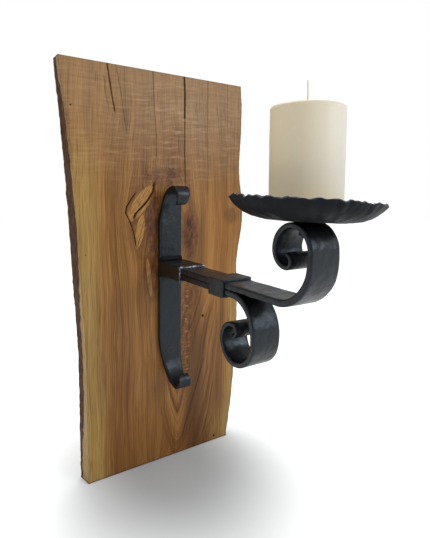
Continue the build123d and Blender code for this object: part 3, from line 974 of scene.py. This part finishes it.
class SCONCE_OT_drip_pan(Operator):
    """Beat out the drip pan with its uneven rim"""

    bl_idname = "sconce.drip_pan"
    bl_label = "Drip pan"

    def execute(self, context):
        s = context.scene.sconce_pan
        low, high = PAN_LOW, PAN_HIGH
        centre = Vector(((low.x + high.x) / 2, (low.y + high.y) / 2, low.z))
        radius = (high.x - low.x) / 2
        under = [
            (3.1, 0), (12, 0), (24, 0.1), (34, 0.5), (42, 1.3), (50, 2.6), (57, 4.4), (62.5, 7.2),
            (67, 10.9), (70, 14.6),
        ]
        above = [
            (69.8, 17.6), (67.2, 15.6), (64.4, 12.6), (60.0, 9.4), (55.0, 7.2), (49, 5.3), (42, 3.9),
            (34, 3.1), (24, 2.6), (12, 2.5), (3.1, 2.5),
        ]
        profile = [(r * MM, h * MM) for r, h in under + [(71.3, 16.6)] + above]
        bm = lathe(profile + profile[:1], 224)
        wear = bm.verts.layers.float.new("wear")
        bare = bm.verts.layers.float.new("bare")
        for v in bm.verts:
            r = math.hypot(v.co.x, v.co.y)
            turn = math.atan2(v.co.y, v.co.x)
            out = Vector((math.cos(turn), math.sin(turn), 0))
            share = ease(r / radius, 0.55, 1.0)
            ring = out * radius
            edge = ripple(ring, 16 * MM, 3.0) * 0.55 + ripple(ring, 7 * MM, 8.0) * 0.45
            inlet = ripple(ring, 11 * MM, 14.0)
            tilt = out.dot(Vector((0.935, -0.351, 0)))
            nick = ripple(ring, 4.5 * MM, 21.0)
            top_ring = v.co.z > 17 * MM
            dent = ripple(v.co, 10 * MM, 5.0) * 0.55 + ripple(v.co, 5 * MM, 9.0) * 0.45
            leaning = max(0.0, (r - 14 * MM) / (radius - 14 * MM))
            uneven = s.rim_wave * (edge * share ** 4 + 0.8 * nick * share ** 14)
            lean = s.rim_tilt * tilt * leaning
            v.co.z += share * s.rim_lift + uneven - lean + 2.2 * MM * dent * ease(r, 26 * MM, 48 * MM)
            v.co -= out * (share ** 4 * (1.0 * MM + 0.9 * MM * inlet) + share ** 14 * 1.2 * MM * nick)
            v[wear] = ease(r / radius, 0.985, 0.995)
            # painted highlight: the rim's top ring is marked for the bright colour where it catches the
            # light
            v[bare] = 0.55 if top_ring else 0.0
            reach = math.hypot(v.co.x, v.co.y)
            if reach > radius:
                v.co.x, v.co.y = v.co.x * radius / reach, v.co.y * radius / reach
        bmesh.ops.translate(bm, verts=bm.verts, vec=centre)
        beaten = iron_finish("beaten_iron", 0.15, 0.58)
        piece(bm, "hammered_drip_pan", beaten, BODY, ["drip_pan"], angle=50)
        return {"FINISHED"}


class SCONCE_OT_candle(Operator):
    """Pour the candle and twist its wick"""

    bl_idname = "sconce.candle"
    bl_label = "Candle and wick"

    def execute(self, context):
        s = context.scene.sconce_candle
        low, high = CANDLE_LOW, CANDLE_HIGH
        radius, tall = (high.x - low.x) / 2, high.z - low.z
        centre = Vector(((low.x + high.x) / 2, (low.y + high.y) / 2, low.z))
        hollow = [(6.9, 0), (6.9, 2.9), (3.4, 2.9), (0.8, 30.4), (0.0, 30.4)]
        profile = [(r * MM, h * MM) for r, h in reversed(hollow)]
        profile += [(radius, 0.0), (radius, tall), (0.0, tall)]
        bm = lathe(profile, 128)

        def level_with(edge, height):
            return all(abs(v.co.z - height) < 1e-6 for v in edge.verts)

        for height, offset, segments in ((tall, 3.6 * MM, 7), (0.0, 1.0 * MM, 3)):
            bevel(bm, [
                e for e in bm.edges
                if level_with(e, height) and all(abs(v.co.xy.length - radius) < 1e-5 for v in e.verts)
            ], offset, segments)
        upright = [e for e in bm.edges if e.calc_length() > 50 * MM]
        bmesh.ops.subdivide_edges(bm, edges=upright, cuts=34, use_grid_fill=True)
        flat = [e for e in bm.edges if level_with(e, tall) and e.calc_length() > 20 * MM]
        bmesh.ops.subdivide_edges(bm, edges=flat, cuts=12, use_grid_fill=True)
        for v in bm.verts:
            r = v.co.xy.length
            if r > radius * 0.5 or v.co.z > tall - MM:
                dull = 0.35 * MM * (ripple(v.co, 30 * MM, 2.0) - 0.55)
                dull += 0.10 * MM * (ripple(v.co, 6 * MM, 6.0) - 0.6)
                if r > 20 * MM and v.co.z < tall - 3 * MM:
                    v.co.xy += v.co.xy.normalized() * dull
                if v.co.z > tall - 3 * MM:
                    v.co.z += dull - 0.9 * MM * math.exp(-(r / (7 * MM)) ** 2)
                    v.co.z += 0.9 * MM + (v.co.x * 0.54 + v.co.y * 0.84) / radius * 0.9 * MM
        bmesh.ops.translate(bm, verts=bm.verts, vec=centre)
        piece(bm, "pillar_candle", wax_finish(s), LOOSE, ["candle"], angle=60)

        bm = bmesh.new()
        start, length = high.z - 6 * MM, WICK_HIGH.z - high.z + 6 * MM
        strand, offset, steps, turns = 0.42 * MM, 0.36 * MM, 110, 5.0
        rise = (length - 0.2 * MM) / steps
        for turn in range(3):
            made = bmesh.ops.create_circle(bm, cap_ends=False, segments=8, radius=strand)["verts"]
            bmesh.ops.translate(bm, verts=made, vec=(offset, 0, 0))
            aside = Matrix.Rotation(turn * math.tau / 3, 3, "Z")
            bmesh.ops.rotate(bm, verts=made, cent=(0, 0, 0), matrix=aside)
            edges = list({e for v in made for e in v.link_edges})
            first = list(edges)
            last = bmesh.ops.spin(
                bm, geom=made + edges, cent=(0, 0, 0), axis=(0, 0, 1), dvec=(0, 0, rise),
                angle=turns * math.tau, steps=steps, use_merge=False, use_duplicate=False,
            )["geom_last"]
            bmesh.ops.holes_fill(bm, edges=first, sides=0)
            last = [g for g in last if isinstance(g, bmesh.types.BMEdge)]
            bmesh.ops.holes_fill(bm, edges=last, sides=0)
        for v in bm.verts:
            up = max(0.0, (v.co.z - 6 * MM) / (24 * MM))
            v.co.x -= s.wick_lean * up * up
        bmesh.ops.translate(bm, verts=bm.verts, vec=(centre.x, centre.y, start))
        piece(bm, "twisted_wick", wick_finish(), LOOSE, ["wick"], angle=70)
        return {"FINISHED"}


def wax_finish(s):
    """Ivory wax with a faint bloom, a soft mottle and a few specks."""
    f = Finish("ivory_wax")
    x, y, z = f.place()
    spot = f.point(x, y, z)
    mottle = f.cloud(spot, 1 / 26, 3.0, 0.55)
    bloom = f.cloud(f.point(x, y, z * 0.5), 1 / 4.0, 3.0, 0.6)
    specks = f.cloud(spot, 1 / 1.1, 1.0, 0.4)
    middle = (CANDLE_LOW + CANDLE_HIGH) / 2 / MM
    # painted shade and painted reflection of the wood: the candle's left side darker and warmer than its
    # right
    painted_side_shade = (0.5 - ((x - middle.x) * 0.84 - (y - middle.y) * 0.54) / 80).clip()
    base = f.mix(painted_side_shade * 0.85 + (mottle - 0.5) * 0.3, tuple(s.wax), colour(214, 196, 160))
    base = f.mix(bloom.step(0.55, 0.8) * 0.2, base, colour(228, 222, 206))
    base = f.mix(specks.step(0.80, 0.86) * 0.5, base, colour(180, 160, 126))
    # painted light: towards the foot the wax turns yellower and glows, an emission that lifts the shade of
    # the drip pan
    low = 1 - (z - CANDLE_LOW.z / MM).step(0, 46)
    base = f.mix(low * 0.15, base, colour(206, 188, 152))
    painted_glow = f.mix(low * 0.38, DARK, colour(222, 206, 172))
    relief = f.bump(bloom * 0.6 + mottle * 0.4, 0.35, 0.35)
    return f.shade(
        base_color=base, roughness=0.42 + (bloom - 0.5) * 0.15, normal=relief, subsurface_weight=0.35,
        subsurface_radius=(0.012, 0.008, 0.004), subsurface_scale=0.5, specular_ior_level=0.25,
        emission_color=painted_glow, emission_strength=1.0,
    )


def wick_finish():
    """Undyed cotton."""
    f = Finish("cotton_wick")
    x, y, z = f.place()
    fibres = f.cloud(f.point(x, y, z * 0.3), 1 / 0.25, 2.0)
    base = f.mix(fibres, colour(206, 200, 188), colour(240, 236, 226))
    return f.shade(base_color=base, roughness=0.85 + fibres * 0.1, normal=f.bump(fibres, 0.08, 0.6))


class SCONCE_OT_fittings(Operator):
    """Finish the screws, pricket, nut, washer, hangers and bumpers"""

    bl_idname = "sconce.fittings"
    bl_label = "Fittings"

    def execute(self, context):
        repaint(iron(), "pricket")
        repaint(screw_finish(), "plate_screws", "stem_washer", "stem_nut")
        repaint(zinc_finish(), "upper_hanger", "lower_hanger", "hanger_screws")
        repaint(rubber_finish(), "bumpers")
        return {"FINISHED"}


def screw_finish():
    """Black oxide with brighter scuffs from the driver."""
    f = Finish("black_oxide")
    scuff = f.cloud(f.spot(), 1 / 1.2, 3.0, 0.6)
    base = f.ramp(scuff, [
        (0.40, colour(10, 11, 13)), (0.62, colour(22, 24, 27)), (0.80, colour(70, 73, 78)),
    ])
    relief = f.bump(scuff, 0.12, 0.5)
    return f.shade(base_color=base, roughness=0.42 + scuff * 0.2, metallic=0.2, normal=relief)


def zinc_finish():
    """Zinc-plated steel with fine brushing and grey spangle."""
    f = Finish("zinc_plate")
    x, y, z = f.place()
    brushed = f.cloud(f.point(x * 6, y * 6, z * 0.4), 1 / 2.0, 3.0)
    sockets = {"Vector": f.point(x, y, z), "Scale": 1 / 3.5}
    spangle = f.node("ShaderNodeTexVoronoi", None, sockets, out="Color")
    base = f.mix(0.14, colour(176, 179, 180), spangle, "OVERLAY")
    base = f.mix(brushed.step(0.55, 0.75) * 0.4, base, colour(132, 134, 134))
    relief = f.bump(brushed, 0.06, 0.5)
    return f.shade(base_color=base, roughness=0.28 + brushed * 0.2, metallic=0.95, normal=relief)


def rubber_finish():
    """Dull black rubber with a moulded grain."""
    f = Finish("bumper_rubber")
    spot = f.spot()
    grain = f.cloud(spot, 1 / 0.7, 2.0)
    dust = f.cloud(spot, 1 / 5.0, 3.0)
    base = f.mix(dust.step(0.5, 0.75) * 0.4, colour(28, 28, 28), colour(70, 68, 64))
    return f.shade(base_color=base, roughness=0.72 + dust * 0.15, normal=f.bump(grain, 0.12, 0.5))


class SCONCE_OT_stage(Operator):
    """Set the floor, the lights and the camera"""

    bl_idname = "sconce.stage"
    bl_label = "Stage"

    def execute(self, context):
        scene = context.scene
        bm = bmesh.new()
        bmesh.ops.create_grid(bm, x_segments=1, y_segments=1, size=6.0)
        bmesh.ops.translate(bm, verts=bm.verts, vec=(0, 0, BOARD_LOW.z - 0.6 * MM))
        mesh = bpy.data.meshes.new("floor")
        bm.to_mesh(mesh)
        bm.free()
        floor = bpy.data.objects.new("floor", mesh)
        scene.collection.objects.link(floor)
        f = Finish("studio_floor")
        x, y, _ = f.place()
        # painted shadow: the floor glows white away from the board and not near it, leaving a soft dark
        # patch round the board's foot
        out = (((x + 10) / 175) ** 2.0 + ((y + 60) / 200) ** 2.0).math("SQRT").step(0.18, 1.40)
        glow_outside_painted_shadow = f.mix(out, DARK, (0.72, 0.72, 0.72))
        mesh.materials.append(f.shade(
            base_color=(0.525, 0.54, 0.545), roughness=0.9, specular_ior_level=0.1, emission_color=glow_outside_painted_shadow,
            emission_strength=1.0,
        ))

        world = bpy.data.worlds.new("studio")
        world.use_nodes = True
        nodes, links = world.node_tree.nodes, world.node_tree.links
        background = nodes["Background"]
        background.inputs["Color"].default_value = (1.0, 1.0, 1.0, 1.0)
        seen = nodes.new("ShaderNodeLightPath")
        strength = nodes.new("ShaderNodeMapRange")
        strength.inputs["To Min"].default_value = scene.sconce_stage.fill
        strength.inputs["To Max"].default_value = 1.0
        links.new(seen.outputs["Is Camera Ray"], strength.inputs["Value"])
        links.new(strength.outputs["Result"], background.inputs["Strength"])
        scene.world = world
        scene.view_settings.view_transform = "Standard"

        def lamp(name, place, aim, size, power, tint=(1, 1, 1)):
            light = bpy.data.lights.new(name, "AREA")
            light.shape, light.size, light.energy, light.color = "DISK", size, power, tint
            obj = bpy.data.objects.new(name, light)
            way = Vector(aim) - Vector(place)
            obj.matrix_world = Matrix.Translation(place) @ way.to_track_quat("-Z", "Y").to_matrix().to_4x4()
            scene.collection.objects.link(obj)

        lamp("key", (1.5, -2.6, 1.5), (0, -0.1, -0.15), 1.2, 30)
        lamp("sheen", (1.1, -1.9, 0.35), (0, -0.2, -0.2), 0.5, 7, (0.74, 0.87, 1.0))
        lamp("top", (0.1, 0.45, 1.3), (0, -0.15, -0.4), 0.7, 14)

        heading, dip, roll = (math.radians(turn) for turn in CAMERA_TURNS)
        level = Vector((math.sin(heading), math.cos(heading), 0))
        ahead = level * math.cos(dip) - Vector((0, 0, math.sin(dip)))
        right = Vector((math.cos(heading), -math.sin(heading), 0))
        over = right.cross(ahead)
        axis_x = right * math.cos(roll) + over * math.sin(roll)
        axis_y = over * math.cos(roll) - right * math.sin(roll)
        lens = bpy.data.cameras.new("camera")
        lens.sensor_width, lens.lens = 36.0, scene.sconce_stage.lens
        lens.shift_y = CAMERA_SHIFT
        camera = bpy.data.objects.new("camera", lens)
        turned = Matrix((axis_x, axis_y, -ahead)).transposed().to_4x4()
        camera.matrix_world = Matrix.Translation(CAMERA_PLACE) @ turned
        scene.collection.objects.link(camera)
        scene.camera = camera
        return {"FINISHED"}


class SCONCE_PT_panel(Panel):
    """The sconce's sizes and the buttons that build it"""

    bl_idname = "SCONCE_PT_panel"
    bl_label = "Wall Sconce"
    bl_space_type = "VIEW_3D"
    bl_region_type = "UI"
    bl_category = "Sconce"

    def draw(self, context):
        for group in GROUPS:
            settings = getattr(context.scene, group)
            for prop in settings.bl_rna.properties:
                if prop.identifier not in {"rna_type", "name"}:
                    self.layout.prop(settings, prop.identifier)
        for operator in OPERATORS:
            self.layout.operator(operator.bl_idname)


GROUPS = {
    "sconce_board": BoardSettings, "sconce_iron": IronSettings, "sconce_pan": PanSettings,
    "sconce_candle": CandleSettings, "sconce_stage": StageSettings,
}
OPERATORS = [
    SCONCE_OT_board, SCONCE_OT_wall_plate, SCONCE_OT_arms, SCONCE_OT_straps, SCONCE_OT_drip_pan,
    SCONCE_OT_candle, SCONCE_OT_fittings, SCONCE_OT_stage,
]


def register():
    for group in GROUPS.values():
        bpy.utils.register_class(group)
    for operator in OPERATORS:
        bpy.utils.register_class(operator)
    bpy.utils.register_class(SCONCE_PT_panel)
    for name, group in GROUPS.items():
        setattr(bpy.types.Scene, name, PointerProperty(type=group))


def unregister():
    for name in GROUPS:
        delattr(bpy.types.Scene, name)
    bpy.utils.unregister_class(SCONCE_PT_panel)
    for operator in reversed(OPERATORS):
        bpy.utils.unregister_class(operator)
    for group in reversed(list(GROUPS.values())):
        bpy.utils.unregister_class(group)


def main():
    register()
    for operator in OPERATORS:
        family, name = operator.bl_idname.split(".")
        getattr(getattr(bpy.ops, family), name)()


if __name__ == "__main__":
    main()
